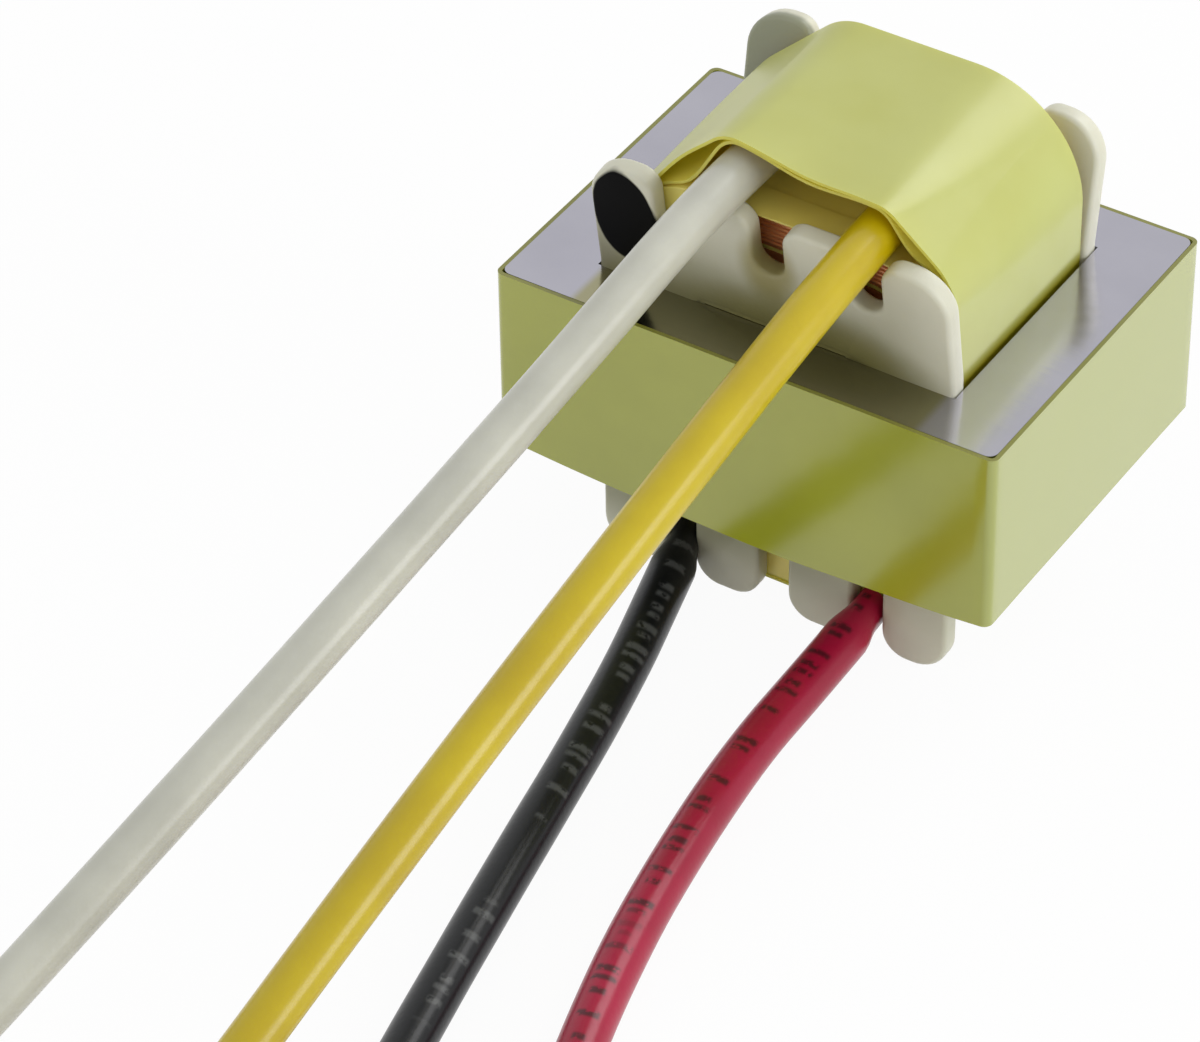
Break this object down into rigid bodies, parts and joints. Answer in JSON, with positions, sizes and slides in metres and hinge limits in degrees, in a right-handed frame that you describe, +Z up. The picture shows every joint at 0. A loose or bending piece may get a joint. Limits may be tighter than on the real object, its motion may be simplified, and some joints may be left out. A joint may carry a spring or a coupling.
{
  "type": "audio transformer",
  "caption": "Small audio transformer with a taped E-I laminated core, a lobed nylon bobbin wound with two coils under yellow tape, and coloured flying leads.",
  "frame": {"origin": "under the middle of the core, on the surface that the bobbin's lower lobes stand on", "axes": "+X along the core, +Y towards the back, away from the leads, +Z up"},
  "size_m": [0.0212, 0.0567, 0.0142],
  "materials": {
    "core_steel": "cold-rolled silicon steel, satin",
    "core_tape": "yellow polyester tape, glossy",
    "coil_tape": "pale yellow polyester tape, soft gloss",
    "inner_tape": "amber polyester tape",
    "nylon": "natural nylon, moulded",
    "copper": "enamelled copper wire",
    "white_insulation": "PVC, soft gloss",
    "yellow_insulation": "PVC, soft gloss",
    "black_insulation": "PVC, glossy",
    "red_insulation": "PVC, glossy",
    "tinned_wire": "tinned copper strands"
  },
  "bodies": {
    "root": {"e_lamination_01": "core_steel", "i_lamination_01": "core_steel", "e_lamination_02": "core_steel", "i_lamination_02": "core_steel", "e_lamination_03": "core_steel", "i_lamination_03": "core_steel", "e_lamination_04": "core_steel", "i_lamination_04": "core_steel", "e_lamination_05": "core_steel", "i_lamination_05": "core_steel", "e_lamination_06": "core_steel", "i_lamination_06": "core_steel", "e_lamination_07": "core_steel", "i_lamination_07": "core_steel", "e_lamination_08": "core_steel", "i_lamination_08": "core_steel", "e_lamination_09": "core_steel", "i_lamination_09": "core_steel", "e_lamination_10": "core_steel", "i_lamination_10": "core_steel", "e_lamination_11": "core_steel", "i_lamination_11": "core_steel", "e_lamination_12": "core_steel", "i_lamination_12": "core_steel", "e_lamination_13": "core_steel", "i_lamination_13": "core_steel", "e_lamination_14": "core_steel", "i_lamination_14": "core_steel", "e_lamination_15": "core_steel", "i_lamination_15": "core_steel", "core_tape": "core_tape", "bobbin": "nylon", "primary_winding": "copper", "interwinding_tape": "inner_tape", "secondary_winding": "copper", "inner_coil_tape": "inner_tape", "coil_tape": "coil_tape", "lead_white": "white_insulation", "tip_white": "tinned_wire", "splice_white": "tinned_wire", "lead_yellow": "yellow_insulation", "tip_yellow": "tinned_wire", "splice_yellow": "tinned_wire", "lead_black": "black_insulation", "tip_black": "tinned_wire", "splice_black": "tinned_wire", "lead_red": "red_insulation", "tip_red": "tinned_wire", "splice_red": "tinned_wire"}
  },
  "joints": []
}
